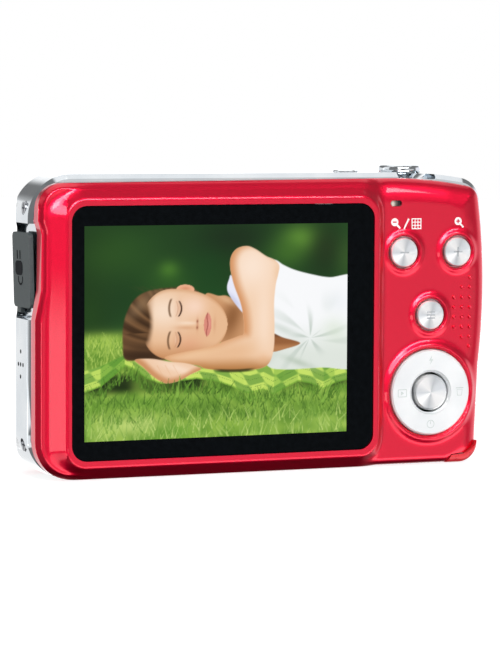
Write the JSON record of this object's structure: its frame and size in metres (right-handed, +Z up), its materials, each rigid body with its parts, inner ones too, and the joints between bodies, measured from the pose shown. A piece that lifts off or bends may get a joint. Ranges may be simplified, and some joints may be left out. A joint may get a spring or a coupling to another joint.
{
  "type": "compact digital camera",
  "caption": "Pocket digital camera with a large rear screen, a zoom and navigation keypad, retracting lens, hinged connector cover and a sliding battery door.",
  "frame": {"origin": "centre of the bounding box at the base the camera stands on", "axes": "+Z up, +Y from the screen towards the lens, +X to the viewer's right when looking at the screen"},
  "size_m": [0.0972, 0.0252, 0.0602],
  "materials": {
    "red_paint": "glossy metallic red lacquer",
    "door_red": "glossy red plastic, a little lighter than the covers",
    "bright_chrome": "polished silver plating",
    "brushed_metal": "spun, radially brushed caps",
    "pearl_chrome": "satin near-white plating",
    "black_glass": "clear cover glass over a black printed border",
    "screen": "display panel",
    "steel": "bare sheet steel",
    "dark_plastic": "moulded dark plastic",
    "grey_rubber": "matt dark grey rubber",
    "circuit_board": "green solder mask",
    "lamp_clear": "translucent light pipe",
    "lens_glass": "coated optical glass",
    "flash_clear": "ribbed clear pane",
    "brass": "turned brass",
    "battery_wrap": "dark wrapped cell"
  },
  "bodies": {
    "case": {"back_cover": "red_paint", "front_cover": "red_paint", "middle_frame": "bright_chrome", "display_window": "black_glass", "lcd_panel": "screen", "lcd_tray": "steel", "status_led_lens": "lamp_clear", "key_board": "circuit_board", "tactile_switches": "steel", "top_board": "circuit_board", "top_switches": "dark_plastic", "usb_port": "steel", "speaker": "dark_plastic", "side_screws": "steel", "base_screws": "steel", "tripod_bush": "brass", "strap_bar": "steel", "battery_box": "dark_plastic", "battery": "battery_wrap", "battery_contacts": "brass", "card_slot": "steel", "main_board": "circuit_board", "processor_chips": "dark_plastic", "chassis_plate": "steel", "sensor_board": "circuit_board", "image_sensor": "dark_plastic", "lens_housing": "dark_plastic", "rear_lens": "lens_glass", "lens_ring": "bright_chrome", "flash_window": "flash_clear", "flash_reflector": "bright_chrome", "flash_tube": "lens_glass", "flash_capacitor": "dark_plastic", "self_timer_lamp": "lamp_clear", "microphone": "dark_plastic"},
    "wide_button": {"zoom_wide_button": "brushed_metal"},
    "tele_button": {"zoom_tele_button": "brushed_metal"},
    "mode_key": {"mode_button": "brushed_metal"},
    "confirm_key": {"ok_button": "brushed_metal"},
    "pad_rocker": {"navigation_actuator": "dark_plastic"},
    "pad": {"navigation_ring": "pearl_chrome"},
    "shutter_key": {"shutter_button": "bright_chrome"},
    "power_key": {"power_button": "bright_chrome"},
    "connector_cover": {"usb_cover": "grey_rubber"},
    "door_pin": {"door_hinge_pin": "steel"},
    "door": {"battery_door": "door_red"},
    "catch": {"battery_catch": "dark_plastic"},
    "outer_stage": {"lens_stage_outer": "bright_chrome"},
    "inner_stage": {"lens_stage_inner": "bright_chrome", "front_lens": "lens_glass"},
    "upper_blade": {"lens_blade_upper": "dark_plastic"},
    "lower_blade": {"lens_blade_lower": "dark_plastic"}
  },
  "joints": [
    {"name": "wide_press", "type": "slide", "parent": "case", "child": "wide_button", "axis": [0, 1, 0], "range_m": [0, 0.0003], "stiffness_N_per_m": 900},
    {"name": "tele_press", "type": "slide", "parent": "case", "child": "tele_button", "axis": [0, 1, 0], "range_m": [0, 0.0003], "stiffness_N_per_m": 900},
    {"name": "mode_press", "type": "slide", "parent": "case", "child": "mode_key", "axis": [0, 1, 0], "range_m": [0, 0.0003], "stiffness_N_per_m": 900},
    {"name": "confirm_press", "type": "slide", "parent": "case", "child": "confirm_key", "axis": [0, 1, 0], "range_m": [0, 0.0003], "stiffness_N_per_m": 900},
    {"name": "pad_tilt_up_down", "type": "hinge", "parent": "case", "child": "pad_rocker", "pos_m": [0.0351, -0.0088, 0.01475], "axis": [1, 0, 0], "range_deg": [-2, 2], "stiffness_Nm_per_rad": 0.6},
    {"name": "pad_tilt_left_right", "type": "hinge", "parent": "pad_rocker", "child": "pad", "pos_m": [0.0351, -0.0088, 0.01475], "axis": [0, 0, 1], "range_deg": [-2, 2], "stiffness_Nm_per_rad": 0.6},
    {"name": "shutter_press", "type": "slide", "parent": "case", "child": "shutter_key", "axis": [0, 0, -1], "range_m": [0, 0.0008], "stiffness_N_per_m": 700},
    {"name": "power_press", "type": "slide", "parent": "case", "child": "power_key", "axis": [0, 0, -1], "range_m": [0, 0.0003], "stiffness_N_per_m": 900},
    {"name": "connector_cover_swing", "type": "hinge", "parent": "case", "child": "connector_cover", "pos_m": [-0.04695, 0, 0.0323], "axis": [0, -1, 0], "range_deg": [-1.5, 95]},
    {"name": "door_slide", "type": "slide", "parent": "case", "child": "door_pin", "axis": [1, 0, 0], "range_m": [0, 0.0025]},
    {"name": "door_swing", "type": "hinge", "parent": "door_pin", "child": "door", "pos_m": [0.0095, 0, 0.0029], "axis": [0, 1, 0], "range_deg": [0, 90]},
    {"name": "catch_slide", "type": "slide", "parent": "case", "child": "catch", "axis": [1, 0, 0], "range_m": [0, 0.0012], "stiffness_N_per_m": 150},
    {"name": "lens_extend", "type": "slide", "parent": "case", "child": "outer_stage", "axis": [0, 1, 0], "range_m": [0, 0.009]},
    {"name": "inner_stage_extend", "type": "slide", "parent": "outer_stage", "child": "inner_stage", "axis": [0, 1, 0], "range_m": [0, 0.0072]},
    {"name": "upper_blade_open", "type": "hinge", "parent": "inner_stage", "child": "upper_blade", "pos_m": [-0.0208, 0.01085, 0.0302], "axis": [0, -1, 0], "range_deg": [0, 38]},
    {"name": "lower_blade_open", "type": "hinge", "parent": "inner_stage", "child": "lower_blade", "pos_m": [-0.0208, 0.01085, 0.0278], "axis": [0, 1, 0], "range_deg": [0, 38]}
  ],
  "couplings": [
    {"joint": "inner_stage_extend", "follows": "lens_extend", "ratio": 0.8},
    {"joint": "upper_blade_open", "follows": "lens_extend", "rad_per_m": 69.813},
    {"joint": "lower_blade_open", "follows": "lens_extend", "rad_per_m": 69.813}
  ]
}
